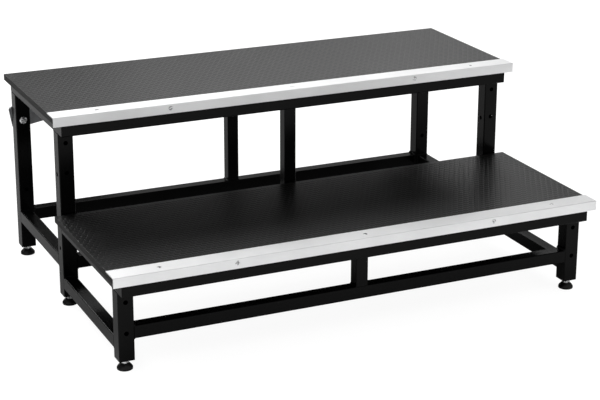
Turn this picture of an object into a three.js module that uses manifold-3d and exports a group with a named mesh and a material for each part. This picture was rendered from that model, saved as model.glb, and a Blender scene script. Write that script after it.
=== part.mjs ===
// Two-step stage stairs: a welded steel tube stand, two deck panels with aluminium nosings,
// six levelling feet and two swivel plates that clamp the stand to what it leads up to.
// Millimetres, +Z up. X runs along the nosings, and people climb from -Y.
import * as THREE from 'three';
import { mergeVertices } from 'three/addons/utils/BufferGeometryUtils.js';
import Module from 'manifold-3d';

const wasm = await Module();
wasm.setup();

// Overall sizes
const stairWidth = 1000;
const lowerDeckTop = 193;
const deckRise = 201;
const going = 331;
const rearLegSpacing = 299.5;

// Deck panels
const panelThickness = 12;
const panelSideInset = 1.5;
const panelRearInset = 6;

// Nosings
const nosingWall = 2;
const nosingTread = 41;
const nosingDrop = 19;
const nosingArris = 1.2;

// Deck frames
const frameSideInset = 16.5;
const frameFrontInset = 5.5;
const frameTubeWidth = 30;
const frameTubeHeight = 28;
const mitreGap = 0.3;

// Legs
const legSize = 30;
const legSetback = 25;
const legFootRoom = 20;
const legEndPlate = 5;

// Bottom rails and struts
const railSize = 25;
const frontRailBottom = 61.2;
const frontSideRailBottom = 37;
const rearRailBottom = 76.3;

// Tube stock
const tubeWall = 1.5;
const tubeCorner = 2;

// Bolt holes in the legs, as distances below the frame that the leg carries
const boltHoleRadius = 4.4;
const stepHoleDrop = 19.5;
const stepHoleSpacing = 60;
const sideHoleDrop = 84.5;
const clampBoltDrop = 55.5;
const lowHoleSpacing = 151;

// Nosing screws
const screwHeadRadius = 4.2;
const screwHeadDepth = 2;
const screwShankRadius = 2;
const screwTip = 3;
const treadScrewLength = 24;
const treadScrewEndInset = 92;
const frontScrewLength = 25;
const frontScrewEndInset = 234;
const recessLength = 4.4;
const recessWidth = 1.1;
const recessDepth = 1.1;

// Levelling feet
const padRadius = 14.8;
const padTopRadius = 9;
const padHeight = 11.5;
const padBulgeShares = [[0.83, 0], [1, 0.07], [1, 0.33], [0.88, 0.49], [0.62, 0.66], [0, 1]];
const socketDepth = 7;
const studRadius = 4;
const studHexFlats = 13;
const studLength = 50;

// Clamp plates, their bolts and nuts
const plateLength = 100;
const plateHeight = 48;
const plateThickness = 5;
const plateCorner = 7;
const plateHoleInset = 18;
const plateFreeHoleRadius = 5.5;
const plateTilt = THREE.MathUtils.degToRad(10);
const clampBoltRadius = 4;
const clampHeadFlats = 10;
const clampHeadHeight = 7.5;
const clampFlangeRadius = 7.7;
const clampFlangeHeight = 1.5;
const clampNutFlats = 13;
const clampNutHeight = 6.8;
const clampBoltTail = 4.2;

// Clearance between pieces that are cut to fit, and the overrun of every cutting tool
const seatGap = 0.3;
const overrun = 1;

// Sides of round forms
const holeSides = 16;
const padSides = 24;
const cornerSegments = 2;

// Places worked out from the sizes above
const frameHalf = stairWidth / 2 - frameSideInset;
const upperDeckTop = lowerDeckTop + deckRise;
const frontLegY = frameFrontInset + legSetback;
const middleLegY = frontLegY + going;
const rearLegY = middleLegY + rearLegSpacing;
const standRearY = rearLegY + legSize;
const frameDrop = panelThickness + frameTubeHeight;
const treadScrewY = frameFrontInset + frameTubeWidth / 2;
const lowerFrameBottom = lowerDeckTop - frameDrop;
const upperFrameBottom = upperDeckTop - frameDrop;
const legInnerX = frameHalf - legSize;
const legCentreX = frameHalf - legSize / 2;
const clampBoltZ = upperFrameBottom - clampBoltDrop;
const plateRearY = standRearY + seatGap + plateThickness;
const nutFrontY = plateRearY + seatGap;
const boltEndY = nutFrontY + clampNutHeight + clampBoltTail;
const quarter = Math.PI / 2;

const finish = (color, roughness, metalness) => () =>
  new THREE.MeshStandardMaterial({ color, roughness, metalness });
const powderCoat = finish(0x101011, 0.45, 0);
const deckFilm = finish(0x1c1c1e, 0.4, 0);
const aluminium = finish(0xd9dadc, 0.35, 1);
const zinc = finish(0xb9bcbf, 0.3, 1);
const rubber = finish(0x171717, 0.6, 0);

// The origin lies under the middle of the stand, so everything moves back by half its depth.
const stairs = new THREE.Group();
stairs.position.y = -boltEndY / 2;
const part = new THREE.Group();
part.add(stairs);

function place(name, material, geometry, x, y, z) {
  const mesh = new THREE.Mesh(geometry, material());
  mesh.name = name;
  mesh.position.set(x, y, z);
  stairs.add(mesh);
  return mesh;
}

// Closed geometry to solid: shared corners are merged and triangles without area left out
function solidOf(geometry) {
  const bare = geometry.clone();
  bare.deleteAttribute('normal');
  bare.deleteAttribute('uv');
  const merged = mergeVertices(bare);
  const corners = merged.index.array;
  const kept = [];
  for (let i = 0; i < corners.length; i += 3) {
    const [a, b, c] = corners.slice(i, i + 3);
    if (a !== b && b !== c && c !== a) kept.push(a, b, c);
  }
  return new wasm.Manifold(new wasm.Mesh({
    numProp: 3,
    vertProperties: new Float32Array(merged.attributes.position.array),
    triVerts: new Uint32Array(kept),
  }));
}

function geometryOf(solid) {
  const mesh = solid.getMesh();
  const geometry = new THREE.BufferGeometry();
  geometry.setAttribute('position', new THREE.BufferAttribute(mesh.vertProperties, 3));
  geometry.setIndex(new THREE.BufferAttribute(mesh.triVerts, 1));
  geometry.computeVertexNormals();
  return geometry;
}

const cut = (geometry, ...tools) =>
  geometryOf(tools.reduce((solid, tool) => solid.subtract(solidOf(tool)), solidOf(geometry)));

const join = (geometry, ...others) =>
  geometryOf(others.reduce((solid, other) => solid.add(solidOf(other)), solidOf(geometry)));

const extrude = (shape, depth) =>
  new THREE.ExtrudeGeometry(shape, { depth, bevelEnabled: false, curveSegments: cornerSegments });

// Rectangle with round corners, centred on zero
function roundedOutline(path, width, height, radius) {
  const x = width / 2 - radius;
  const y = height / 2 - radius;
  path.absarc(x, y, radius, 0, quarter);
  path.absarc(-x, y, radius, quarter, 2 * quarter);
  path.absarc(-x, -y, radius, 2 * quarter, 3 * quarter);
  path.absarc(x, -y, radius, 3 * quarter, 4 * quarter);
  path.closePath();
  return path;
}

// Rectangular tube along its own Z from zero, open at both ends
function tubeStock(length, width, height) {
  const section = roundedOutline(new THREE.Shape(), width, height, tubeCorner);
  const boreCorner = tubeCorner - tubeWall;
  const bore = roundedOutline(new THREE.Path(), width - 2 * tubeWall, height - 2 * tubeWall, boreCorner);
  section.holes.push(bore);
  return extrude(section, length);
}

// Round pin or tool along its own Z, centred on zero
const rod = (radius, length) =>
  new THREE.CylinderGeometry(radius, radius, length, holeSides).rotateX(quarter);

// Hexagonal prism along its own Z from zero, with two corners on its X axis
const hexPrism = (flats, height) =>
  new THREE.CylinderGeometry(flats / Math.sqrt(3), flats / Math.sqrt(3), height, 6)
    .rotateY(quarter).rotateX(quarter).translate(0, 0, height / 2);

// Body of revolution round its own Z, from [radius, height] pairs that start and end on the axis
const turned = (profile, sides) =>
  new THREE.LatheGeometry(profile.map(([r, z]) => new THREE.Vector2(r, z)), sides).rotateX(quarter);

// Countersunk screw with its head's flat face at zero and its tip below.
// Grown by a gap, and with its head drawn up to above, it is the tool that makes its own hole.
function screwBody(length, gap, above) {
  const flat = [[screwHeadRadius + gap, 0], [0, 0]];
  const raised = [[screwHeadRadius + gap, 0], [screwHeadRadius + gap, above], [0, above]];
  return turned([
    [0, -length - gap],
    [screwShankRadius + gap, screwTip - length - gap],
    [screwShankRadius + gap, -screwHeadDepth],
    ...(above ? raised : flat),
  ], holeSides);
}

const screwHole = (length) => screwBody(length, seatGap, overrun);

function screw(length) {
  const slot = new THREE.BoxGeometry(recessLength, recessWidth, 2 * recessDepth);
  return cut(screwBody(length, 0, 0), slot, slot.clone().rotateZ(quarter));
}

const treadScrewX = stairWidth / 2 - treadScrewEndInset;
const frontScrewX = stairWidth / 2 - frontScrewEndInset;
const treadScrewXs = [-treadScrewX, 0, treadScrewX];
const frontScrewXs = [-frontScrewX, frontScrewX];

// Turns a shape drawn in Y and Z, with its depth, so that the depth runs along X
const alongX = new THREE.Matrix4().makeBasis(
  new THREE.Vector3(0, 1, 0), new THREE.Vector3(0, 0, 1), new THREE.Vector3(1, 0, 0),
);

// Mitred frame tube along its own X from zero, with its long side on its own Y zero
function mitredTube(length, holes) {
  const half = frameTubeWidth / 2;
  const reach = half + overrun;
  const toolHeight = frameTubeHeight + 2 * overrun;
  const wedge = new THREE.Shape([
    new THREE.Vector2(-reach, -overrun),
    new THREE.Vector2(reach, -overrun),
    new THREE.Vector2(reach, frameTubeWidth + overrun),
  ]);
  const start = extrude(wedge, toolHeight)
    .translate(0, mitreGap * Math.SQRT1_2, -toolHeight / 2).rotateX(quarter);
  const end = start.clone().rotateX(2 * quarter).translate(0, 0, length);
  const tube = cut(tubeStock(length, frameTubeWidth, frameTubeHeight), start, end)
    .translate(half, 0, 0).applyMatrix4(alongX);
  return holes.length ? cut(tube, ...holes) : tube;
}

// Deck frame: four mitred tubes, the front one with holes for the tread screws, and a bearer
function deckFrame(deck, frontY, rearY, bottom) {
  const depth = rearY - frontY;
  const middleZ = bottom + frameTubeHeight / 2;
  const screwZ = frameTubeHeight / 2 + panelThickness + nosingWall;
  const screwHoles = treadScrewXs.map((x) =>
    screwHole(treadScrewLength).translate(x + frameHalf, frameTubeWidth / 2, screwZ));
  const sides = [
    ['front', 2 * frameHalf, -frameHalf, frontY, screwHoles],
    ['right', depth, frameHalf, frontY, []],
    ['rear', 2 * frameHalf, frameHalf, rearY, []],
    ['left', depth, -frameHalf, rearY, []],
  ];
  sides.forEach(([side, length, x, y, holes], turn) => {
    const tube = place(`${deck}_frame_${side}`, powderCoat, mitredTube(length, holes), x, y, middleZ);
    tube.rotation.z = turn * quarter;
  });
  const bearer = [-frameTubeWidth / 2, frontY + frameTubeWidth, bottom, depth - 2 * frameTubeWidth];
  tubeAlongY(`${deck}_frame_bearer`, ...bearer, frameTubeWidth, frameTubeHeight);
}

// Straight tubes, placed by their low corner
function tubeAlongX(name, x, y, z, length) {
  const tube = tubeStock(length, railSize, railSize);
  const mesh = place(name, powderCoat, tube, x, y + railSize / 2, z + railSize / 2);
  mesh.rotation.y = quarter;
}

function tubeAlongY(name, x, y, z, length, width, height) {
  const tube = tubeStock(length, width, height);
  const mesh = place(name, powderCoat, tube, x + width / 2, y, z + height / 2);
  mesh.rotation.x = -quarter;
}

function strut(name, y, bottom, top) {
  const tube = tubeStock(top - bottom, railSize, railSize);
  place(name, powderCoat, tube, 0, y + railSize / 2, bottom);
}

// Leg with a threaded end plate for its foot. Holes are [axis, height above the floor, radius].
function leg(name, side, y, top, holes) {
  const length = top - legFootRoom;
  const outer = extrude(roundedOutline(new THREE.Shape(), legSize, legSize, tubeCorner), length);
  const boreSize = legSize - 2 * tubeWall;
  const boreShape = roundedOutline(new THREE.Shape(), boreSize, boreSize, tubeCorner - tubeWall);
  const bore = extrude(boreShape, length - legEndPlate + overrun).translate(0, 0, legEndPlate);
  const thread = rod(studRadius + seatGap, 2 * (legEndPlate + overrun));
  const drills = holes.map(([axis, height, radius]) => {
    const drill = rod(radius, legSize + 2 * overrun);
    if (axis === 'x') drill.rotateY(quarter);
    else drill.rotateX(quarter);
    return drill.translate(0, 0, height - legFootRoom);
  });
  const tube = cut(outer, bore, thread, ...drills);
  place(name, powderCoat, tube, side * legCentreX, y + legSize / 2, legFootRoom);
}

// Levelling foot: a round pad, and a stud with a hexagon that turns in it
function levellingFoot(corner, side, legY) {
  const y = legY + legSize / 2;
  const bulge = padRadius - padTopRadius;
  const dome = padBulgeShares.map(([out, up]) => [padTopRadius + bulge * out, padHeight * up]);
  const socketRadius = studRadius + seatGap;
  const socketBottom = padHeight - socketDepth;
  const pad = [[0, 0], ...dome, [socketRadius, padHeight], [socketRadius, socketBottom], [0, socketBottom]];
  place(`${corner}_foot_pad`, rubber, geometryOf(solidOf(turned(pad, padSides))), side * legCentreX, y, 0);

  const studBottom = socketBottom + seatGap;
  const hexHeight = legFootRoom - padHeight - 2 * seatGap;
  const hexagon = hexPrism(studHexFlats, hexHeight).translate(0, 0, padHeight + seatGap - studBottom);
  const stud = join(rod(studRadius, studLength).translate(0, 0, studLength / 2), hexagon);
  place(`${corner}_foot_stud`, zinc, stud, side * legCentreX, y, studBottom);
}

// Deck panel, its nosing and the screws that hold the nosing
function deck(name, frontY, rearY, top) {
  const nosingTop = top + nosingWall;
  const edgeZ = top - panelThickness / 2;
  const treadScrews = treadScrewXs.map((x) => [x, frontY + treadScrewY, nosingTop]);
  const frontScrews = frontScrewXs.map((x) => [x, frontY, edgeZ]);
  const holes = [
    ...treadScrews.map((at) => screwHole(treadScrewLength).translate(...at)),
    ...frontScrews.map((at) => screwHole(frontScrewLength).rotateX(quarter).translate(...at)),
  ];

  const panelDepth = rearY - frontY - nosingWall;
  const panel = new THREE.BoxGeometry(stairWidth - 2 * panelSideInset, panelDepth, panelThickness)
    .translate(0, frontY + nosingWall + panelDepth / 2, edgeZ);
  place(`${name}_deck_panel`, deckFilm, cut(panel, ...holes), 0, 0, 0);

  const angle = new THREE.Shape();
  angle.moveTo(0, -nosingDrop);
  angle.lineTo(nosingWall, -nosingDrop);
  angle.lineTo(nosingWall, -nosingWall);
  angle.lineTo(nosingTread, -nosingWall);
  angle.lineTo(nosingTread, 0);
  angle.absarc(nosingArris, -nosingArris, nosingArris, quarter, 2 * quarter);
  angle.closePath();
  const nosing = extrude(angle, stairWidth).applyMatrix4(alongX)
    .translate(-stairWidth / 2, frontY, nosingTop);
  place(`${name}_nosing`, aluminium, cut(nosing, ...holes), 0, 0, 0);

  treadScrews.forEach((at, i) => {
    place(`${name}_tread_screw_${i + 1}`, zinc, screw(treadScrewLength), ...at);
  });
  frontScrews.forEach((at, i) => {
    place(`${name}_front_screw_${i + 1}`, zinc, screw(frontScrewLength), ...at).rotation.x = quarter;
  });
}

// Swivel plate behind a rear leg, on the bolt that goes through the leg, held by a nut
function clamp(name, side) {
  const x = side * legCentreX;
  const boltLength = boltEndY - rearLegY;
  const shank = rod(clampBoltRadius, boltLength).translate(0, 0, -boltLength / 2);
  const head = hexPrism(clampHeadFlats, clampHeadHeight);
  const flange = rod(clampFlangeRadius, clampFlangeHeight).translate(0, 0, clampFlangeHeight / 2);
  const neck = rod(clampBoltRadius, 2 * overrun);
  const solid = join(head, flange, shank, neck);
  const bolt = place(`${name}_clamp_bolt`, zinc, solid, x, rearLegY, clampBoltZ);
  bolt.rotation.x = quarter;

  const boreRadius = clampBoltRadius + seatGap;
  const outline = roundedOutline(new THREE.Shape(), plateLength, plateHeight, plateCorner);
  const plate = extrude(outline, plateThickness).translate(plateLength / 2 - plateHoleInset, 0, 0);
  const drill = (radius) => rod(radius, 2 * (plateThickness + overrun));
  const freeHole = drill(plateFreeHoleRadius).translate(plateLength - 2 * plateHoleInset, 0, 0);
  const drilled = cut(plate, drill(boreRadius), freeHole);
  const plateMesh = place(`${name}_clamp_plate`, zinc, drilled, x, plateRearY, clampBoltZ);
  plateMesh.rotation.set(quarter, 0, side < 0 ? plateTilt : 2 * quarter - plateTilt);

  const nutBore = rod(boreRadius, 2 * (clampNutHeight + overrun));
  const nut = cut(hexPrism(clampNutFlats, clampNutHeight), nutBore);
  const nutMesh = place(`${name}_clamp_nut`, zinc, nut, x, nutFrontY, clampBoltZ);
  nutMesh.rotation.x = -quarter;
}

// The stand
deck('lower', 0, middleLegY - panelRearInset, lowerDeckTop);
deck('upper', going, standRearY - panelRearInset, upperDeckTop);
deckFrame('lower', frameFrontInset, middleLegY, lowerFrameBottom);
deckFrame('upper', going + frameFrontInset, standRearY, upperFrameBottom);

const stepHoles = (frameBottom) => [
  ['y', frameBottom - stepHoleDrop, boltHoleRadius],
  ['y', frameBottom - stepHoleDrop - stepHoleSpacing, boltHoleRadius],
];
const middleHoles = [
  ...stepHoles(upperFrameBottom),
  ['x', upperFrameBottom - sideHoleDrop, boltHoleRadius],
  ['x', upperFrameBottom - sideHoleDrop - lowHoleSpacing, boltHoleRadius],
];
const rearHoles = [
  ['y', clampBoltZ, clampBoltRadius + seatGap],
  ['y', clampBoltZ - lowHoleSpacing, boltHoleRadius],
];

for (const [name, side] of [['left', -1], ['right', 1]]) {
  leg(`front_${name}_leg`, side, frontLegY, lowerFrameBottom, stepHoles(lowerFrameBottom));
  leg(`middle_${name}_leg`, side, middleLegY, upperFrameBottom, middleHoles);
  leg(`rear_${name}_leg`, side, rearLegY, upperFrameBottom, rearHoles);
  levellingFoot(`front_${name}`, side, frontLegY);
  levellingFoot(`middle_${name}`, side, middleLegY);
  levellingFoot(`rear_${name}`, side, rearLegY);
  clamp(name, side);

  const railX = side < 0 ? -frameHalf : frameHalf - railSize;
  const frontStart = frontLegY + legSize;
  const rearStart = middleLegY + legSize;
  const rail = (end, y, z, length) =>
    tubeAlongY(`${end}_${name}_rail`, railX, y, z, length, railSize, railSize);
  rail('front', frontStart, frontSideRailBottom, middleLegY - frontStart);
  rail('rear', rearStart, rearRailBottom, rearLegY - rearStart);
}

const crossRear = standRearY - railSize;
const rearRailTop = rearRailBottom + railSize;
tubeAlongX('front_cross_rail', -legInnerX, frontLegY, frontRailBottom, 2 * legInnerX);
tubeAlongX('middle_cross_rail', -legInnerX, middleLegY, rearRailBottom, 2 * legInnerX);
tubeAlongX('rear_cross_rail', -legInnerX, crossRear, rearRailBottom, 2 * legInnerX);
strut('front_strut', frontLegY, frontRailBottom + railSize, lowerFrameBottom);
strut('middle_strut', middleLegY, rearRailTop, upperFrameBottom);
strut('rear_strut', crossRear, rearRailTop, upperFrameBottom);

export default part;
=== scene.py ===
import math

import bmesh
import bpy
import numpy as np
from mathutils import Matrix, Vector


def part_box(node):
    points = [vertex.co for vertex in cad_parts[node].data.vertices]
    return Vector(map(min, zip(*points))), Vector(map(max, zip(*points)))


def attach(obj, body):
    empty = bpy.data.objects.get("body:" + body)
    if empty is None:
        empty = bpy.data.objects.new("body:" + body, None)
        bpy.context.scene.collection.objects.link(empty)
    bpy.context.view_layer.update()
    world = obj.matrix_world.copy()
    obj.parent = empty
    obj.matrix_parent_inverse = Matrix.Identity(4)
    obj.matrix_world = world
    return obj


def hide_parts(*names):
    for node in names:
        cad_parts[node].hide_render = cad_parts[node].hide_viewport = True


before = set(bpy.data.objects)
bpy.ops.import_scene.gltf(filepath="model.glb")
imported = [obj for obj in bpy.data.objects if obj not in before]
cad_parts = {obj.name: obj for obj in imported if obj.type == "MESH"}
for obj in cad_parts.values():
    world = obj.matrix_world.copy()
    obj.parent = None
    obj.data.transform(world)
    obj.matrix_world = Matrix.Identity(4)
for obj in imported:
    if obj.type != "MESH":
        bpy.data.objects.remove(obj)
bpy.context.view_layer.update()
scene = bpy.context.scene
mm = 0.001
tau = 2 * math.pi
print("stage stairs: frame loaded,", len(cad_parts), "nodes")


# Shader maths: a Wire is one socket, and arithmetic on it adds Math nodes to its tree

class Wire:
    def __init__(self, nodes, socket):
        self.nodes = nodes
        self.socket = socket

    def do(self, operation, *values):
        inputs = dict(enumerate([self, *values]))
        return self.nodes.add("ShaderNodeMath", {"operation": operation}, inputs)

    def __add__(self, other):
        return self.do("ADD", other)

    def __sub__(self, other):
        return self.do("SUBTRACT", other)

    def __rsub__(self, other):
        return self.do("MULTIPLY_ADD", -1, other)

    def __mul__(self, other):
        return self.do("MULTIPLY", other)

    def __truediv__(self, other):
        return self.do("DIVIDE", other)

    def __mod__(self, other):
        return self.do("FLOORED_MODULO", other)

    def __abs__(self):
        return self.do("ABSOLUTE")

    __radd__ = __add__
    __rmul__ = __mul__

    def rise(self, low, high):  # 0 below low, 1 above high, smooth between
        settings = {"interpolation_type": "SMOOTHSTEP"}
        return self.nodes.add("ShaderNodeMapRange", settings, {0: self, 1: low, 2: high, 3: 0, 4: 1})


class Nodes:
    def __init__(self, tree):
        self.tree = tree

    def add(self, kind, settings=None, values=None, output=0):
        made = self.tree.nodes.new(kind)
        for key, value in (settings or {}).items():
            setattr(made, key, value)
        for key, value in (values or {}).items():
            if isinstance(value, Wire):
                self.tree.links.new(value.socket, made.inputs[key])
            else:
                made.inputs[key].default_value = value
        return Wire(self, made.outputs[output])

    def mix(self, share, low, high):
        inputs = {0: share, 6: (*low, 1), 7: (*high, 1)}
        return self.add("ShaderNodeMix", {"data_type": "RGBA"}, inputs, 2)


class Finish(Nodes):
    def __init__(self, name):
        self.material = bpy.data.materials.new(name)
        self.material.use_nodes = True
        super().__init__(self.material.node_tree)
        self.shader = self.tree.nodes["Principled BSDF"]
        self.place = self.add("ShaderNodeTexCoord", output="Object")
        self.y, self.z = (self.add("ShaderNodeSeparateXYZ", None, {0: self.place}, axis)
                          for axis in (1, 2))

    def noise(self, scale, stretch=(1, 1, 1), detail=2):  # scale in waves per metre
        at = self.add("ShaderNodeMapping", None, {"Vector": self.place, "Scale": stretch})
        return self.add("ShaderNodeTexNoise", None, {"Vector": at, "Scale": scale, "Detail": detail})

    def put(self, socket, value):
        if isinstance(value, Wire):
            self.tree.links.new(value.socket, self.shader.inputs[socket])
        else:
            self.shader.inputs[socket].default_value = value

    def emboss(self, height, depth, strength=1):
        values = {"Height": height, "Distance": depth, "Strength": strength}
        self.put("Normal", self.add("ShaderNodeBump", None, values))


# Camera, light and floor

camera = {
    "place": (-1.3479, -2.9848, 1.3053),
    "yaw": -0.4366,
    "pitch": -0.3109,
    "roll": -0.0051,
    "lens": 101.99,
    "shift": (-0.0199, -0.0759),
}

# Pairs of shades are before and behind the object, and change over between the pair of turns. The
# floor's darker colour behind is painted shade: it stands in for the floor shaded under and behind the
# object, as seen in reflections and in bounced light.
studio = {
    "skyForLight": 1.05,
    "skyForMirror": (0.62, 0.03),
    "skyTurn": (-0.25, 0.25),
    # The floor's second colour is painted shade under and behind the object
    "floorColorAndPaintedShade": (0.82, 0.3),
    "floorShadeTurn": (-0.5, -0.1),
    "floorSeen": {"color": 0.16, "glow": 0.91},
    "floorSize": 30,
    "aim": (0, 0, 0.2),
    "lampSize": 1.6,
    "lamps": {
        "back": {"place": (0.75, 2.4, 2.2), "power": 15},
        "backLeft": {"place": (-1.2, 2.4, 2.2), "power": 75},
        "backRight": {"place": (2.0, 2.0, 2.0), "power": 10},
        "backRightLow": {"place": (1.3, 2.7, 1.5), "power": 3.3},
        "above": {"place": (-0.6, 1.0, 3.2), "power": 12},
    },
}


def makeCamera():
    turn = (Matrix.Rotation(camera["yaw"], 3, "Z") @ Matrix.Rotation(camera["pitch"], 3, "X")
            @ Matrix.Rotation(camera["roll"], 3, "Y") @ Matrix.Rotation(tau / 4, 3, "X"))
    lensData = bpy.data.cameras.new("camera")
    lensData.lens = camera["lens"]
    lensData.shift_x, lensData.shift_y = camera["shift"]
    eye = bpy.data.objects.new("camera", lensData)
    eye.matrix_world = Matrix.Translation(camera["place"]) @ turn.to_4x4()
    scene.collection.objects.link(eye)
    scene.camera = eye


def isRay(nodes, kind):
    return nodes.add("ShaderNodeLightPath", None, None, f"Is {kind} Ray")


def makeSky():
    # White for the camera, darker behind the object in reflections, plain for light on the object
    world = bpy.data.worlds.new("studio")
    world.use_nodes = True
    nodes = Nodes(world.node_tree)
    way = nodes.add("ShaderNodeTexCoord", output="Object")
    north = nodes.add("ShaderNodeSeparateXYZ", None, {0: way}, 1)
    before, behind = studio["skyForMirror"]
    mirrored = north.rise(*studio["skyTurn"]) * (behind - before) + before
    glossy, plain = isRay(nodes, "Glossy"), studio["skyForLight"]
    seen = isRay(nodes, "Camera").do("MAXIMUM", isRay(nodes, "Transmission"))
    strength = seen * (1 - plain) + glossy * (mirrored - plain) + plain
    background = world.node_tree.nodes["Background"]
    background.inputs["Color"].default_value = (1, 1, 1, 1)
    world.node_tree.links.new(strength.socket, background.inputs["Strength"])
    scene.world = world


def makeLamps():
    for name, lamp in studio["lamps"].items():
        data = bpy.data.lights.new(name, "AREA")
        data.size = studio["lampSize"]
        data.energy = lamp["power"]
        light = bpy.data.objects.new(name, data)
        place = Vector(lamp["place"])
        turn = (Vector(studio["aim"]) - place).to_track_quat("-Z", "Y")
        light.matrix_world = Matrix.Translation(place) @ turn.to_matrix().to_4x4()
        scene.collection.objects.link(light)


def makeFloor():
    # What the camera sees is mostly glow, so that the shadow stays faint
    finish = Finish("floorPaintAndShade")
    before, behind = ((shade, shade, shade) for shade in studio["floorColorAndPaintedShade"])
    # Painted shade: the floor's colour for reflections and bounced light turns darker under and behind
    # the object
    finish.put("Base Color", finish.mix(finish.y.rise(*studio["floorShadeTurn"]), before, behind))
    finish.put("Roughness", 0.9)
    finish.put("Specular IOR Level", 0)
    look = studio["floorSeen"]
    glow = finish.add("ShaderNodeEmission", None, {"Color": (1, 1, 1, 1), "Strength": look["glow"]})
    thin = finish.add("ShaderNodeBsdfDiffuse", None, {"Color": (*[look["color"]] * 3, 1)})
    both = finish.add("ShaderNodeAddShader", None, {0: thin, 1: glow})
    seen = isRay(finish, "Camera").do("MAXIMUM", isRay(finish, "Transmission"))
    lit = Wire(finish, finish.shader.outputs[0])
    chosen = finish.add("ShaderNodeMixShader", None, {0: seen, 1: lit, 2: both})
    finish.tree.links.new(chosen.socket, finish.tree.nodes["Material Output"].inputs["Surface"])
    half = studio["floorSize"] / 2
    corners = [(-half, -half, 0), (half, -half, 0), (half, half, 0), (-half, half, 0)]
    mesh = bpy.data.meshes.new("floor")
    mesh.from_pydata(corners, [], [(0, 1, 2, 3)])
    mesh.materials.append(finish.material)
    floor = bpy.data.objects.new("floor", mesh)
    scene.collection.objects.link(floor)


scene.view_settings.view_transform = "Standard"
makeCamera()
makeSky()
makeLamps()
makeFloor()
print("camera, light and floor made")


# Finishes

def powderCoat():
    look = {"dark": (0.0002, 0.0002, 0.0002), "dusty": (0.0008, 0.0008, 0.0008), "peel": 0.04 * mm}
    finish = Finish("powderCoat")
    clouds = finish.noise(14, detail=4)
    grain = finish.noise(620, detail=3)
    finish.put("Base Color", finish.mix(clouds, look["dark"], look["dusty"]))
    finish.put("Roughness", clouds * 0.08 + 0.15)
    finish.put("Specular IOR Level", 0.09)
    finish.emboss(grain, look["peel"], 0.6)
    return finish.material


def deckFilm():
    look = {"dark": (0.0007, 0.0007, 0.0007), "dusty": (0.002, 0.002, 0.002), "grain": 0.05 * mm}
    finish = Finish("deckFilm")
    clouds = finish.noise(6, detail=5)
    grain = finish.noise(900, detail=3)
    finish.put("Base Color", finish.mix(clouds * 0.5 + grain * 0.5, look["dark"], look["dusty"]))
    finish.put("Roughness", clouds * 0.06 + grain * 0.05 + 0.3)
    finish.put("Specular IOR Level", 0.28)
    finish.emboss(grain, look["grain"], 0.7)
    return finish.material


def sealedEdge():
    look = {"dark": (0.002, 0.0019, 0.0018), "light": (0.009, 0.0085, 0.008),
            "ply": 1.34 * mm, "depth": 0.12 * mm}
    finish = Finish("sealedEdge")
    plies = abs((finish.z % look["ply"]) / look["ply"] - 0.5) * 2
    fibres = finish.noise(260, (0.3, 0.3, 6), 4)
    mottle = plies * 0.35 + fibres * 0.65
    finish.put("Base Color", finish.mix(mottle, look["dark"], look["light"]))
    finish.put("Roughness", mottle * 0.15 + 0.42)
    finish.put("Specular IOR Level", 0.1)
    finish.emboss(mottle, look["depth"], 0.8)
    return finish.material


def satinAluminium():
    look = {"dull": (0.8, 0.803, 0.806), "clean": (0.89, 0.893, 0.896), "lines": 0.015 * mm}
    finish = Finish("satinAluminium")
    lines = finish.noise(1500, (0.008, 1, 1), 3)  # extrusion lines run along the nosing
    clouds = finish.noise(11, (0.6, 1, 1), 5)
    finish.put("Base Color", finish.mix(clouds.rise(0.3, 0.7), look["dull"], look["clean"]))
    finish.put("Metallic", 1)
    finish.put("Roughness", lines * 0.1 + clouds * 0.08 + 0.52)
    finish.emboss(lines, look["lines"], 0.7)
    return finish.material


def brightZinc():
    look = {"dull": (0.17, 0.17, 0.168), "clean": (0.85, 0.855, 0.865), "grain": 0.02 * mm}
    finish = Finish("brightZinc")
    clouds = finish.noise(300, detail=4)
    grain = finish.noise(2600, detail=2)
    finish.put("Base Color", finish.mix(clouds.rise(0.38, 0.62), look["dull"], look["clean"]))
    finish.put("Metallic", 1)
    finish.put("Roughness", grain * 0.15 + clouds * 0.1 + 0.16)
    finish.emboss(grain, look["grain"], 0.6)
    return finish.material


def dullZinc():
    look = {"dull": (0.2, 0.2, 0.205), "clean": (0.27, 0.275, 0.28), "grain": 0.04 * mm}
    finish = Finish("dullZinc")
    spangle = finish.noise(90, detail=5)
    grain = finish.noise(1400, detail=3)
    finish.put("Base Color", finish.mix(spangle.rise(0.3, 0.7), look["dull"], look["clean"]))
    finish.put("Metallic", 0.85)
    finish.put("Roughness", spangle * 0.18 + 0.34)
    finish.emboss(grain, look["grain"], 0.6)
    return finish.material


def footNylon():
    look = {"dark": (0.002, 0.002, 0.002), "scuffed": (0.006, 0.006, 0.006), "grain": 0.05 * mm}
    finish = Finish("footNylon")
    clouds = finish.noise(120, detail=4)
    grain = finish.noise(1800, detail=2)
    finish.put("Base Color", finish.mix(clouds.rise(0.35, 0.8), look["dark"], look["scuffed"]))
    finish.put("Roughness", grain * 0.12 + clouds * 0.12 + 0.2)
    finish.put("Specular IOR Level", 0.22)
    finish.emboss(grain, look["grain"], 0.5)
    return finish.material


coat = powderCoat()
film = deckFilm()
edge = sealedEdge()
aluminium = satinAluminium()
zinc = brightZinc()
plateZinc = dullZinc()
nylon = footNylon()
print("finishes made")


# Surfaces: points are arrays of rings by sides by 3, made into quads by index arithmetic

def gridFaces(rings, sides, looped=False):
    ring, side = np.meshgrid(np.arange(rings if looped else rings - 1), np.arange(sides), indexing="ij")
    ring, side = ring.ravel(), side.ravel()
    nextRing, nextSide = (ring + 1) % rings, (side + 1) % sides
    here, there = ring * sides, nextRing * sides
    return np.stack([here + side, here + nextSide, there + nextSide, there + side], axis=1)


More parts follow.
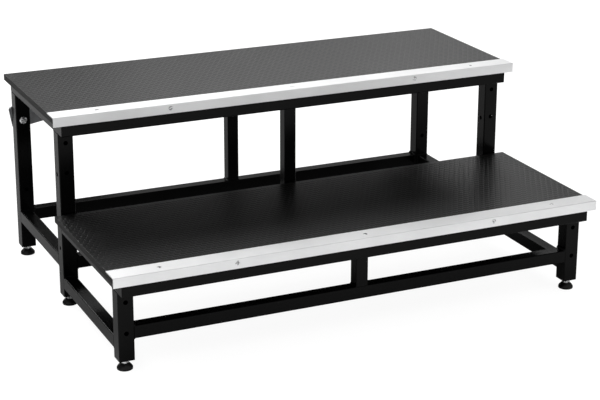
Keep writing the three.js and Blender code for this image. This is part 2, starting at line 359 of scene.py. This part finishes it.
def meshOf(points, looped=False):
    # Rings joined side by side. A looped surface closes on its first ring, and any other
    # is capped at both ends.
    rings, sides = points.shape[:2]
    faces = gridFaces(rings, sides, looped).tolist()
    if not looped:
        faces += [list(range(sides)), list(range((rings - 1) * sides, rings * sides))]
    mesh = bpy.data.meshes.new("surface")
    mesh.from_pydata(points.reshape(-1, 3).tolist(), [], faces)
    return faceOut(mesh)


def faceOut(mesh):
    work = bmesh.new()
    work.from_mesh(mesh)
    bmesh.ops.recalc_face_normals(work, faces=work.faces)
    work.to_mesh(mesh)
    work.free()
    return mesh


def joined(meshes):
    work = bmesh.new()
    for mesh in meshes:
        work.from_mesh(mesh)
    whole = bpy.data.meshes.new("joined")
    work.to_mesh(whole)
    work.free()
    return whole


def cutWith(mesh, *cutters):  # each cutter is a mesh, taken away in turn
    for cutter in cutters:
        body = bpy.data.objects.new("body", mesh)
        tool = bpy.data.objects.new("tool", cutter)
        scene.collection.objects.link(body)
        scene.collection.objects.link(tool)
        boolean = body.modifiers.new("cut", "BOOLEAN")
        boolean.object = tool
        boolean.solver = "EXACT"
        settled = body.evaluated_get(bpy.context.evaluated_depsgraph_get())
        mesh = bpy.data.meshes.new_from_object(settled)
        bpy.data.objects.remove(body)
        bpy.data.objects.remove(tool)
    return mesh


def addPiece(name, mesh, material, body, nodes=(), bevel=30):
    mesh.name = name
    mesh.materials.clear()
    mesh.materials.append(material)
    mesh.polygons.foreach_set("use_smooth", [True] * len(mesh.polygons))
    mesh.set_sharp_from_angle(angle=math.radians(bevel))
    piece = bpy.data.objects.new(name, mesh)
    scene.collection.objects.link(piece)
    weighted = piece.modifiers.new("flat faces", "WEIGHTED_NORMAL")
    weighted.keep_sharp = True
    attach(piece, body)
    if nodes:
        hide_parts(*nodes)
    return piece


def roundedLoop(width, height, corner, steps):
    # A rectangle with quarter circles at its corners, as points by (across, up)
    turns = (np.arange(4)[:, None] + np.linspace(0, 1, steps + 1)[None, :]) * tau / 4
    signs = np.array([(1, 1), (-1, 1), (-1, -1), (1, -1)])[:, None, :]
    middles = signs * np.array([width / 2 - corner, height / 2 - corner])
    arcs = middles + corner * np.stack([np.cos(turns), np.sin(turns)], axis=2)
    return arcs.reshape(-1, 2)


def levelRing(width, depth, corner, steps, height):
    loop = roundedLoop(width, depth, corner, steps)
    return np.column_stack([loop, np.full(len(loop), height)])


def easedRings(thickness, ease):
    # Inset and height of each ring of a slab whose edges are eased in three facets
    part = 0.3 * ease
    lower = [(ease, 0), (part, part), (0, ease)]
    return lower + [(inset, thickness - height) for inset, height in reversed(lower)]


core = 0.2 * mm  # radius of the small cap that closes a turned piece


def lathe(profile, sides=48):
    # Radius and height pairs, each turned round Z into one ring
    profile = np.array(profile, float)
    turn = np.arange(sides) * tau / sides
    rings = np.stack([np.outer(profile[:, 0], np.cos(turn)), np.outer(profile[:, 0], np.sin(turn)),
                      np.repeat(profile[:, 1:], sides, axis=1)], axis=2)
    return meshOf(rings)


def moved(mesh, *steps):
    for step in steps:
        mesh.transform(step)
    return mesh


def shift(x, y, z):
    return Matrix.Translation((x, y, z))


# For pieces drawn along Z: their tops then face right, front or up
turnOnto = {"x": Matrix.Rotation(tau / 4, 4, "Y"), "y": Matrix.Rotation(tau / 4, 4, "X"), "z": Matrix()}


def boxOf(node):
    low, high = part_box(node)
    return np.array(low), np.array(high)


def camel(node):
    first, *rest = node.split("_")
    return first + "".join(word.capitalize() for word in rest)


# Tubes

tubeLook = {"wall": 1.5 * mm, "corner": 2 * mm, "steps": 6}


def tubeSection(width, height):
    wall, corner, steps = (tubeLook[k] for k in ("wall", "corner", "steps"))
    outer = roundedLoop(width, height, corner, steps)
    inner = roundedLoop(width - 2 * wall, height - 2 * wall, corner - wall, steps)
    return outer, inner


def tubeMesh(low, high, axis, mitreSide=0):
    # Outer skin there, bore back: four rings in a loop. A mitred end slopes with the distance
    # from the tube's long side, which lies at the low or high end of its second direction.
    along = "xyz".index(axis)
    across, up = [i for i in range(3) if i != along]
    size, middle = high - low, (high + low) / 2
    outer, inner = tubeSection(size[across], size[up])
    section = np.stack([outer, outer, inner, inner])
    points = np.zeros((*section.shape[:2], 3))
    points[..., across] = section[..., 0] + middle[across]
    points[..., up] = section[..., 1] + middle[up]
    if mitreSide < 0:
        slope = points[..., across] - low[across]
    else:
        slope = (high[across] - points[..., across]) * mitreSide
    ends = np.array([low[along], high[along], high[along], low[along]])[:, None]
    inward = np.array([1, -1, -1, 1])[:, None]
    points[..., along] = ends + inward * slope
    return meshOf(points, looped=True)


def makeTubes():
    straight = {
        "x": ["front_cross_rail", "middle_cross_rail", "rear_cross_rail"],
        "y": ["front_left_rail", "front_right_rail", "rear_left_rail", "rear_right_rail",
              "lower_frame_bearer", "upper_frame_bearer"],
        "z": ["front_strut", "middle_strut", "rear_strut"],
    }
    mitred = {"front": ("x", -1), "right": ("y", 1), "rear": ("x", 1), "left": ("y", -1)}
    plan = {node: (axis, 0) for axis, nodes in straight.items() for node in nodes}
    for deck in ("lower", "upper"):
        plan.update({f"{deck}_frame_{side}": how for side, how in mitred.items()})
    for node, (axis, mitreSide) in plan.items():
        addPiece(camel(node), tubeMesh(*boxOf(node), axis, mitreSide), coat, "stand", [node])


# Legs: a tube closed at the foot by a plate, with a stud hole and bolt holes

legLook = {
    "plate": 5 * mm,
    "boltHole": 4.4 * mm,
    "clampHole": 4.3 * mm,
    "studHole": 4.3 * mm,
    "stepDrop": 19.5 * mm,
    "stepSpacing": 60 * mm,
    "sideDrop": 84.5 * mm,
    "lowSpacing": 151 * mm,
    "sides": 40,
    "overrun": 2 * mm,
}


def drill(radius, length, axis, at):
    profile = [(radius, -length / 2), (radius, length / 2)]
    return moved(lathe(profile, legLook["sides"]), turnOnto[axis], shift(*at))


def boltHoles():
    # Height and radius of each hole along an axis, for a row of legs. Heights count down from a deck
    # frame's underside or, at the rear, from the clamp bolt.
    lowerFrame, upperFrame = (boxOf(f"{deck}_frame_front")[0][2] for deck in ("lower", "upper"))
    clamp = sum(boxOf("left_clamp_nut"))[2] / 2
    radius, clampRadius = legLook["boltHole"], legLook["clampHole"]
    step, spacing = legLook["stepDrop"], legLook["stepSpacing"]
    side, lowSpacing = legLook["sideDrop"], legLook["lowSpacing"]
    return {
        "front": {"y": [(lowerFrame - step, radius), (lowerFrame - step - spacing, radius)]},
        "middle": {"y": [(upperFrame - step, radius), (upperFrame - step - spacing, radius)],
                   "x": [(upperFrame - side, radius), (upperFrame - side - lowSpacing, radius)]},
        "rear": {"y": [(clamp, clampRadius), (clamp - lowSpacing, radius)]},
    }


def legMesh(low, high, holes):
    size, middle, plate = high - low, (high + low) / 2, legLook["plate"]
    outer, inner = tubeSection(size[0], size[1])
    section = np.stack([outer, outer, inner, inner]) + middle[:2]
    heights = np.array([low[2], high[2], high[2], low[2] + plate])[:, None]
    heights = np.repeat(heights, len(outer), axis=1)
    mesh = meshOf(np.concatenate([section, heights[..., None]], axis=2))
    reach = size[0] + 2 * legLook["overrun"]
    for axis in "xy":
        if axis in holes:
            bolts = [drill(radius, reach, axis, (*middle[:2], height)) for height, radius in holes[axis]]
            mesh = cutWith(mesh, joined(bolts))
    return cutWith(mesh, drill(legLook["studHole"], 4 * plate, "z", (*middle[:2], low[2])))


def makeLegs():
    for row, holes in boltHoles().items():
        for side in ("left", "right"):
            node = f"{row}_{side}_leg"
            addPiece(camel(node), legMesh(*boxOf(node), holes), coat, "stand", [node])


makeTubes()
makeLegs()
print("tubes and legs made")


# Weld beads: a rope of overlapping ripples in an inside corner, thinning to a point at both ends

weldLook = {
    "radius": 1.7 * mm,
    "railTop": 3.8 * mm,
    "pitch": 1.9 * mm,
    "ripple": 0.1,
    "lag": 1.3,
    "tip": 0.002,
    "sides": 12,
    "samples": 5,  # a ripple
    "fewest": 8,
}


def weldBead(start, end, reach):
    start, end = np.array(start), np.array(end)
    length = np.linalg.norm(end - start)
    direction = (end - start) / length
    count = max(weldLook["fewest"], int(length / weldLook["pitch"] * weldLook["samples"]))
    travel = np.linspace(weldLook["tip"], 1 - weldLook["tip"], count)[:, None]
    turn = (np.arange(weldLook["sides"]) * tau / weldLook["sides"])[None, :]
    taper = (1 - np.abs(2 * travel - 1) ** (length / reach)) ** 0.5
    phase = travel * length / weldLook["pitch"] * tau
    radius = reach * taper * (1 + weldLook["ripple"] * np.cos(phase + weldLook["lag"] * np.cos(turn)))
    side = np.cross(direction, (0, 0, 1) if abs(direction[2]) < 0.5 else (1, 0, 0))
    lift = np.cross(direction, side)
    around = np.cos(turn)[..., None] * side + np.sin(turn)[..., None] * lift
    return meshOf(start + travel[..., None] * (end - start) + radius[..., None] * around)


def cornerBeads(low, high, plane, axis, faces):
    # Beads round one end of a tube: the box's edges in the plane where the end meets its neighbour.
    # faces lists the sides that stand in from the neighbour's faces, as (axis, end) pairs.
    # Where two of them meet, their beads run on round the corner. A cross rail's top bead is thick.
    index = "xyz".index(axis)
    beads = []
    for name, end in faces:
        side = "xyz".index(name)
        along = 3 - index - side
        start, stop = np.zeros(3), np.zeros(3)
        start[index] = stop[index] = plane
        start[side] = stop[side] = (low, high)[end][side]
        reach = weldLook["railTop" if (name, end, axis) == ("z", 1, "x") else "radius"]
        start[along] = low[along] - (("xyz"[along], 0) in faces) * reach
        stop[along] = high[along] + (("xyz"[along], 1) in faces) * reach
        beads.append(weldBead(start, stop, reach))
    return beads


def makeWelds():
    groups = {}

    def weld(group, node, axis, end, faces):
        low, high = boxOf(node)
        plane = (low, high)[end]["xyz".index(axis)]
        groups.setdefault(group, []).extend(cornerBeads(low, high, plane, axis, faces))

    level, sideways, frontBack = ([(axis, 0), (axis, 1)] for axis in "zxy")
    for end, side in ((0, "left"), (1, "right")):
        for row in ("front", "rear"):
            for railEnd in (0, 1):
                faces = [*level, ("x", 1 - end)]
                weld(f"{side}RailWelds", f"{row}_{side}_rail", "y", railEnd, faces)
        for row, inset in (("front", 1), ("middle", 1), ("rear", 0)):
            weld(f"{side}CrossRailWelds", f"{row}_cross_rail", "x", end, [*level, ("y", inset)])
        for row in ("front", "middle"):
            weld(f"{side}LegWelds", f"{row}_{side}_leg", "z", 1, frontBack)
        # A rear leg's weld is ground flush behind, where the clamp plate swings past
        weld(f"{side}LegWelds", f"rear_{side}_leg", "z", 1, [("y", 0)])
    for row in ("front", "middle", "rear"):
        weld("strutWelds", f"{row}_strut", "z", 0, sideways)
        weld("strutWelds", f"{row}_strut", "z", 1, [*sideways, *frontBack])
    for name, beads in groups.items():
        addPiece(name, joined(beads), coat, "stand", bevel=60)


makeWelds()
print("welds made")


# Decks: a slab with eased edges, and the film's raised hexagons on its top

deckLook = {
    "ease": 0.35 * mm,
    "corner": 1.2 * mm,
    "pitch": 12 * mm,
    "channel": 1.5 * mm,
    "slope": 1.2 * mm,
    "relief": 0.32 * mm,
    "sunk": 0.2 * mm,
    "margin": 1 * mm,
    "underNosing": 4 * mm,
    "leastInside": 0.4,
    "steps": 4,
}


def slabMesh(low, high):
    size, middle = high - low, (high + low) / 2
    corner, steps = deckLook["corner"], deckLook["steps"]
    rings = [levelRing(size[0] - 2 * inset, size[1] - 2 * inset, corner, steps, height)
             for inset, height in easedRings(size[2], deckLook["ease"])]
    return meshOf(np.array(rings) + (*middle[:2], low[2]))


def hexagons(low, high, top):
    # Each cell is a hexagon that starts inside the panel, with sloping sides above the film's base.
    # Its corners are clipped to the rectangle, so the cells at its edge are cut as the film is.
    pitch = deckLook["pitch"]
    row = pitch * math.sqrt(3) / 2
    rows = np.arange(math.floor(low[1] / row), math.ceil(high[1] / row) + 1)
    columns = np.arange(math.floor(low[0] / pitch) - 1, math.ceil(high[0] / pitch) + 1)
    column, line = np.meshgrid(columns, rows, indexing="ij")
    centres = np.stack([(column + 0.5 * (line % 2)) * pitch, line * row], axis=2).reshape(-1, 2)
    turn = (np.arange(6) + 0.5) * tau / 6
    corners = np.stack([np.cos(turn), np.sin(turn)], axis=1) / math.cos(tau / 12)
    base = pitch / 2 - deckLook["channel"] / 2
    crown = (base - deckLook["slope"], top + deckLook["relief"])
    levels = [(base, top - deckLook["sunk"]), (base, top), crown]
    inside = base * deckLook["leastInside"]
    clipped = np.clip(centres, low[:2] + inside, high[:2] - inside)
    centres = centres[np.all(clipped == centres, axis=1)]
    rings = []
    for reach, height in levels:
        ring = np.clip(centres[:, None, :] + corners[None] * reach, low[:2], high[:2])
        rings.append(np.concatenate([ring, np.full((*ring.shape[:2], 1), height)], axis=2))
    points = np.stack(rings, axis=1)
    perCell = 6 * len(levels)
    caps = np.array([np.arange(6)[::-1], np.arange(perCell - 6, perCell)])
    offsets = np.arange(len(centres))[:, None, None] * perCell
    quads = (gridFaces(len(levels), 6)[None] + offsets).reshape(-1, 4).tolist()
    ends = (caps[None] + offsets).reshape(-1, 6).tolist()
    mesh = bpy.data.meshes.new("hexagons")
    mesh.from_pydata(points.reshape(-1, 3).tolist(), [], quads + ends)
    return mesh


def makeDecks():
    for deck in ("lower", "upper"):
        low, high = boxOf(f"{deck}_deck_panel")
        nosingRear = boxOf(f"{deck}_nosing")[1][1]
        slab = addPiece(f"{deck}DeckPanel", slabMesh(low, high), edge, "stand",
                        [f"{deck}_deck_panel"], bevel=50)
        slab.data.materials.append(film)
        upward = np.array([polygon.normal[2] > 0.9 for polygon in slab.data.polygons])
        slab.data.polygons.foreach_set("material_index", upward.astype(int))
        margin = deckLook["margin"]
        cellLow = np.array([low[0] + margin, nosingRear - deckLook["underNosing"], 0])
        cellHigh = np.array([high[0] - margin, high[1] - margin, 0])
        addPiece(f"{deck}DeckHexagons", hexagons(cellLow, cellHigh, high[2]), film, "stand", bevel=12)


makeDecks()
print("decks made")


# Nosings: an L profile with a round arris carried along X, countersunk for its screws

nosingLook = {"wall": 2 * mm, "arris": 1.2 * mm, "ease": 0.35 * mm, "inner": 0.6 * mm}
screwLook = {
    "head": 4.2 * mm,
    "shank": 2 * mm,
    "depth": 2 * mm,
    "crown": 0.25 * mm,
    "sunk": 0.2 * mm,
    "brim": 0.35 * mm,
    "tip": 3 * mm,
    "seatSides": 40,
    "gap": {"front": 0.5 * mm, "tread": 0.2 * mm},
    "twist": {"first": 0.4, "step": 0.9},
}
recessLook = {
    "length": 3.8 * mm,
    "width": 1.3 * mm,
    "depth": 1.8 * mm,
    "above": 0.4 * mm,
    "floorLength": 0.6425,  # shares of the length and width above
    "floorWidth": 0.74,
    "corner": 0.2 * mm,
    "steps": 2,
}
facing = {"front": turnOnto["y"], "tread": turnOnto["z"]}


def arc(centre, radius, start, end, steps):  # start and end in quarter turns
    turn = np.linspace(start, end, steps + 1) * tau / 4
    return np.array(centre) + radius * np.stack([np.cos(turn), np.sin(turn)], axis=1)


def nosingMesh(low, high):
    wall, arris, ease, inner = (nosingLook[k] for k in ("wall", "arris", "ease", "inner"))
    front, rear, bottom, top = low[1], high[1], low[2], high[2]
    outline = np.vstack([
        arc((front + arris, top - arris), arris, 2, 1, 8),
        arc((rear - ease, top - ease), ease, 1, 0, 3),
        arc((rear - ease, top - wall + ease), ease, 0, -1, 3),
        arc((front + wall + inner, top - wall - inner), inner, 1, 2, 3),
        arc((front + wall - ease, bottom + ease), ease, 0, -1, 3),
        arc((front + ease, bottom + ease), ease, -1, -2, 3),
    ])
    ends = np.array([low[0], high[0]])
    points = np.stack([np.column_stack([np.full(len(outline), x), outline]) for x in ends])
    return meshOf(points)


def screwPlaces(deck):
    low, high = boxOf(f"{deck}_nosing")
    nodes = [f"{deck}_tread_screw_{i}" for i in (1, 2, 3)] + [f"{deck}_front_screw_{i}" for i in (1, 2)]
    places = []
    for node in nodes:
        screwLow, screwHigh = boxOf(node)
        middle = (screwLow + screwHigh) / 2
        faces = "front" if "front" in node else "tread"
        at = (middle[0], low[1], middle[2]) if faces == "front" else (middle[0], middle[1], high[2])
        places.append((node, faces, at, screwHigh - screwLow))
    return places


def headSeat(faces, at):
    # What is cut from the nosing for a screw: a countersink over its shank hole
    gap, depth = screwLook["gap"][faces], screwLook["depth"]
    head, shank = screwLook["head"] + gap, screwLook["shank"] + gap
    rim, below, above = 0.15 * mm, 3 * mm, 1 * mm
    profile = [(shank, -depth - below), (shank, -depth), (head, -rim), (head, above)]
    return moved(lathe(profile, screwLook["seatSides"]), facing[faces], shift(*at))


def recessArm(turn):
    long, wide = recessLook["length"], recessLook["width"]
    corner, steps = recessLook["corner"], recessLook["steps"]
    floor = levelRing(long * recessLook["floorLength"], wide * recessLook["floorWidth"],
                      corner, steps, -recessLook["depth"])
    mouth = levelRing(long, wide, corner, steps, recessLook["above"])
    return moved(meshOf(np.array([floor, mouth])), Matrix.Rotation(turn, 4, "Z"))


def screwMesh(length):
    head, shank, depth, crown = (screwLook[k] for k in ("head", "shank", "depth", "crown"))
    sunk, brim, tip = (screwLook[k] for k in ("sunk", "brim", "tip"))
    turns = np.linspace(0, tau / 4, 6)[:-1]
    dome = [(head * math.cos(turn), crown * math.sin(turn) - sunk) for turn in turns]
    profile = [(core, -length), (shank, tip - length), (shank, -depth), (head, -brim), *dome,
               (core / 2, crown - sunk)]
    return cutWith(lathe(profile), recessArm(0), recessArm(tau / 4))


def makeNosings():
    twist = screwLook["twist"]
    for deck in ("lower", "upper"):
        places = screwPlaces(deck)
        seats = [headSeat(faces, at) for _, faces, at, _ in places]
        mesh = cutWith(nosingMesh(*boxOf(f"{deck}_nosing")), *seats)
        addPiece(f"{deck}Nosing", mesh, aluminium, "stand", [f"{deck}_nosing"], bevel=35)
        for number, (node, faces, at, size) in enumerate(places):
            length = size[1] if faces == "front" else size[2]
            twisted = Matrix.Rotation(twist["first"] + twist["step"] * number, 4, "Z")
            screw = moved(screwMesh(length), twisted, facing[faces], shift(*at))
            addPiece(camel(node), screw, zinc, "stand", [node])


makeNosings()
print("nosings and screws made")


# Threads and hexagons: a radius worked out for each turn and height

# Shares of the pitch, and of the width across flats (drop) or half of it (start, collar)
threadLook = {"sides": 48, "perPitch": 8, "share": 0.6, "steepness": 1.35, "root": 0.12}
hexLook = {"drop": 0.09, "start": 0.97, "collar": 0.9, "steps": 5}
footLook = {
    "socket": 4.3 * mm,
    "socketFloor": 4.5 * mm,
    "neck": 9 * mm,
    "flat": 13.8 * mm,
    "widest": 3.8 * mm,
    "lip": 0.6 * mm,
    "dish": 1.35,
    "stud": 4 * mm,
    "pitch": 1.25 * mm,
    "hexFlats": 13 * mm,
    "gap": 0.3 * mm,
    "padSides": 64,
    "swellSteps": 14,
}


def hexRadius(flats, turn):
    return flats / 2 / np.cos((turn + tau / 12) % (tau / 6) - tau / 12)


def hexRings(flats, low, high, chamfer=(True, True)):
    # The hexagon's radius, held inside a 30 degree cone at each chamfered end
    turn = np.arange(threadLook["sides"]) * tau / threadLook["sides"]
    drops = flats * hexLook["drop"] * np.linspace(0, 1, hexLook["steps"])
    heights = np.concatenate([low + drops, high - drops[::-1]])
    cone = np.full(len(heights), np.inf)
    start = flats / 2 * hexLook["start"]
    for end, distance in ((0, heights - low), (1, high - heights)):
        if chamfer[end]:
            cone = np.minimum(cone, start + distance * math.tan(tau / 6))
    return np.minimum(hexRadius(flats, turn)[None, :], cone[:, None]), heights


def threadRings(radius, pitch, low, high):
    # The crest follows a helix: height over pitch less turn is constant along it
    count = int((high - low) / pitch * threadLook["perPitch"]) + 1
    heights = np.linspace(low, high, count)
    turn = np.arange(threadLook["sides"]) * tau / threadLook["sides"]
    phase = heights[:, None] / pitch - turn[None, :] / tau
    tooth = np.abs(phase % 1 - 0.5) * 2
    ends = np.clip(np.minimum(heights - low, high - heights) / pitch, 0, 1)[:, None]
    crest = np.clip(threadLook["steepness"] * tooth - threadLook["root"], 0, 1)
    return radius - threadLook["share"] * pitch * (1 - ends * crest), heights


def turnedRings(*parts):
    # Radius arrays stacked along their heights into rings
    turn = np.arange(threadLook["sides"]) * tau / threadLook["sides"]
    radius = np.vstack([part[0] for part in parts])
    height = np.concatenate([part[1] for part in parts])
    return np.stack([radius * np.cos(turn), radius * np.sin(turn),
                     np.repeat(height[:, None], len(turn), axis=1)], axis=2)


def roundRings(pairs):
    pairs = np.array(pairs, float)
    return np.repeat(pairs[:, :1], threadLook["sides"], axis=1), pairs[:, 1]


def padMesh(low, high):
    reach, height = (high - low)[0] / 2, (high - low)[2]
    neck, flat, socket, floor = (footLook[k] for k in ("neck", "flat", "socket", "socketFloor"))
    lip, widest = footLook["lip"], footLook["widest"]
    rise = np.linspace(0, 1, footLook["swellSteps"])
    swell = np.column_stack([neck + (reach - neck) * (1 - rise ** footLook["dish"]),
                             widest + (height - lip - widest) * rise])
    rim = arc((neck - lip, height - lip), lip, 0, 1, 4)
    foot = arc((flat, reach - flat), reach - flat, -1, 0, 5)
    mouth = [(socket + lip / 2, height), (socket, height - lip / 2), (socket, floor), (core, floor)]
    outline = np.vstack([[(core, 0)], foot, swell[:-1], rim, mouth])
    return moved(lathe(outline, footLook["padSides"]), shift(low[0] + reach, low[1] + reach, low[2]))


def studMesh(low, high, hexLow, hexHigh):
    middle = (low + high) / 2
    stud, flats, ease, tipDrop = footLook["stud"], footLook["hexFlats"], 0.5 * mm, 1.2 * mm
    collar = flats / 2 * hexLook["collar"]
    spigot = roundRings([(core, low[2]), (stud - ease, low[2]), (stud, low[2] + ease),
                         (stud, hexLow), (collar, hexLow)])
    hexagon = hexRings(flats, hexLow, hexHigh)
    shoulder = roundRings([(collar, hexHigh), (stud, hexHigh)])
    thread = threadRings(stud, footLook["pitch"], hexHigh, high[2] - ease)
    tip = roundRings([(stud - tipDrop, high[2]), (core, high[2])])
    rings = turnedRings(spigot, hexagon, shoulder, thread, tip)
    return moved(meshOf(rings), shift(middle[0], middle[1], 0))


def makeFeet():
    for row in ("front", "middle", "rear"):
        for side in ("left", "right"):
            foot = f"{row}_{side}"
            legBottom = boxOf(f"{foot}_leg")[0][2]
            padNode, studNode, gap = f"{foot}_foot_pad", f"{foot}_foot_stud", footLook["gap"]
            padLow, padHigh = boxOf(padNode)
            pad = padMesh(padLow, padHigh)
            addPiece(camel(padNode), pad, nylon, f"{foot}_pad", [padNode], bevel=40)
            stud = studMesh(*boxOf(studNode), padHigh[2] + gap, legBottom - gap)
            addPiece(camel(studNode), stud, zinc, f"{foot}_stud", [studNode], bevel=25)


makeFeet()
print("feet made")


# Clamp plates, bolts and nuts at the rear legs

clampLook = {
    "length": 100 * mm,
    "height": 48 * mm,
    "corner": 7 * mm,
    "holeInset": 18 * mm,
    "freeHole": 5.5 * mm,
    "tilt": math.radians(10),
    "ease": 0.5 * mm,
    "steps": 10,
}
boltLook = {
    "radius": 4 * mm,
    "pitch": 1.25 * mm,
    "thread": 22 * mm,
    "tip": {"length": 0.6 * mm, "drop": 1.1 * mm},
    "head": 7.5 * mm,
    "flats": 10 * mm,
    "flange": 7.7 * mm,
    "rim": 1.5 * mm,
    "ease": 0.3 * mm,
    "cone": {"share": 1.12, "height": 0.7 * mm},  # shares of half the flats' width
    "hexStart": 0.8 * mm,
    "dish": {"share": 0.8, "floorShare": 0.74, "depth": 0.3 * mm, "middleDepth": 0.5 * mm},
    "spin": 0.35,
}
nutLook = {"flats": 13 * mm, "root": 4.9 * mm, "mouth": 5.1 * mm, "inset": 0.5 * mm}


def plateMesh(thickness):
    # Drawn flat round its pivot hole, with its length along X and its front on Z zero
    length, height, corner, steps = (clampLook[k] for k in ("length", "height", "corner", "steps"))
    rings = [levelRing(length - 2 * inset, height - 2 * inset, corner - inset, steps, z)
             for inset, z in easedRings(thickness, clampLook["ease"])]
    slab = moved(meshOf(np.array(rings)), shift(length / 2 - clampLook["holeInset"], 0, 0))
    pivot = drill(legLook["clampHole"], 4 * thickness, "z", (0, 0, 0))
    free = drill(clampLook["freeHole"], 4 * thickness, "z", (length - 2 * clampLook["holeInset"], 0, 0))
    return cutWith(slab, pivot, free)


def boltMesh(length):
    # Head above zero with a cone from its flange up to the hexagon, shank below threaded at its end
    bolt, head, flange, rim, ease = (boltLook[k] for k in ("radius", "head", "flange", "rim", "ease"))
    tip, cone, dish = (boltLook[k] for k in ("tip", "cone", "dish"))
    reach, threadTop = boltLook["flats"] / 2, boltLook["thread"] - length
    tail = roundRings([(core, -length), (bolt - tip["drop"], -length)])
    thread = threadRings(bolt, boltLook["pitch"], tip["length"] - length, threadTop)
    collar = roundRings([
        (bolt, threadTop), (bolt, 0),
        (flange - ease, 0), (flange, ease), (flange, rim - ease), (flange - ease, rim),
        (reach * cone["share"], rim + cone["height"]),
    ])
    hexagon = hexRings(boltLook["flats"], rim + boltLook["hexStart"], head, (False, True))
    face = roundRings([(reach * dish["share"], head), (reach * dish["floorShare"], head - dish["depth"]),
                       (core, head - dish["middleDepth"])])
    return meshOf(turnedRings(tail, thread, collar, hexagon, face))


def nutMesh(height):
    # A looped surface: hexagon outside, threaded bore back inside
    root, mouth, inset = (nutLook[k] for k in ("root", "mouth", "inset"))
    hexagon = hexRings(nutLook["flats"], 0, height)
    radius, heights = threadRings(root, boltLook["pitch"], inset, height - inset)
    inside = (radius[::-1], heights[::-1])
    top, bottom = roundRings([(mouth, height)]), roundRings([(mouth, 0)])
    return meshOf(turnedRings(hexagon, top, inside, bottom), looped=True)


def makeClamps():
    for side, sign in (("left", -1), ("right", 1)):
        nutLow, nutHigh = boxOf(f"{side}_clamp_nut")
        boltEnd = boxOf(f"{side}_clamp_bolt")[1][1]
        plateLow, plateHigh = boxOf(f"{side}_clamp_plate")
        centre = (nutLow + nutHigh) / 2
        legFront = boxOf(f"rear_{side}_leg")[0][1]
        toFront = turnOnto["y"]
        mirrored = Matrix.Scale(-sign, 4, (1, 0, 0))
        lean = Matrix.Rotation(clampLook["tilt"], 4, "Z")
        plate = moved(plateMesh(plateHigh[1] - plateLow[1]), lean, toFront, mirrored,
                      shift(centre[0], plateHigh[1], centre[2]))
        addPiece(f"{side}ClampPlate", faceOut(plate), plateZinc, f"{side}_plate",
                 [f"{side}_clamp_plate"])
        spin = Matrix.Rotation(boltLook["spin"] * sign, 4, "Z")
        bolt = moved(boltMesh(boltEnd - legFront), spin, toFront, shift(centre[0], legFront, centre[2]))
        addPiece(f"{side}ClampBolt", bolt, zinc, "stand", [f"{side}_clamp_bolt"], bevel=25)
        nut = moved(nutMesh(nutHigh[1] - nutLow[1]), toFront, shift(centre[0], nutHigh[1], centre[2]))
        addPiece(f"{side}ClampNut", nut, zinc, "stand", [f"{side}_clamp_nut"], bevel=25)


makeClamps()
print("clamps made")
